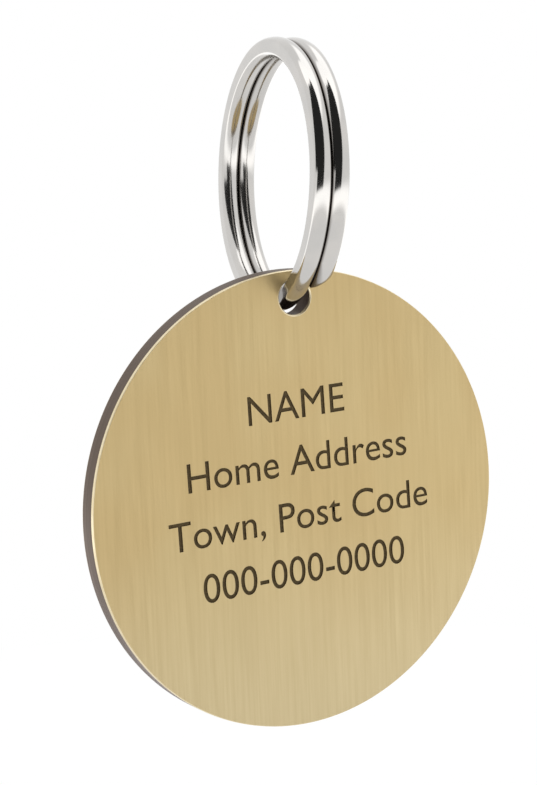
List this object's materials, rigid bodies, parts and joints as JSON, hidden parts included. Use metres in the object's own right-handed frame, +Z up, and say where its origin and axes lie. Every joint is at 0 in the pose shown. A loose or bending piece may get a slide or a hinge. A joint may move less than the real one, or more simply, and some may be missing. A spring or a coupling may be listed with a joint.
{
  "type": "pet id tag",
  "caption": "Round flat metal tag with a hole near its rim, hung on a coiled split ring that threads onto a pet collar's loop.",
  "frame": {"origin": "point inside the top of the split ring where a collar's loop bears", "axes": "+Z up, -Y out of the tag's face, +X to the right across the face"},
  "size_m": [0.03, 0.018, 0.0448],
  "materials": {
    "tag_brass": "brushed upright on the faces, smooth rim",
    "ring_plating": "bright nickel plating"
  },
  "bodies": {
    "ring": {"split_ring": "ring_plating"},
    "tag": {"tag_disc": "tag_brass"}
  },
  "joints": [
    {"name": "tag_swing", "type": "hinge", "parent": "ring", "child": "tag", "pos_m": [-0.00187, -0.00289, -0.0152], "axis": [0, 1, 0], "range_deg": [-104, 113]}
  ]
}
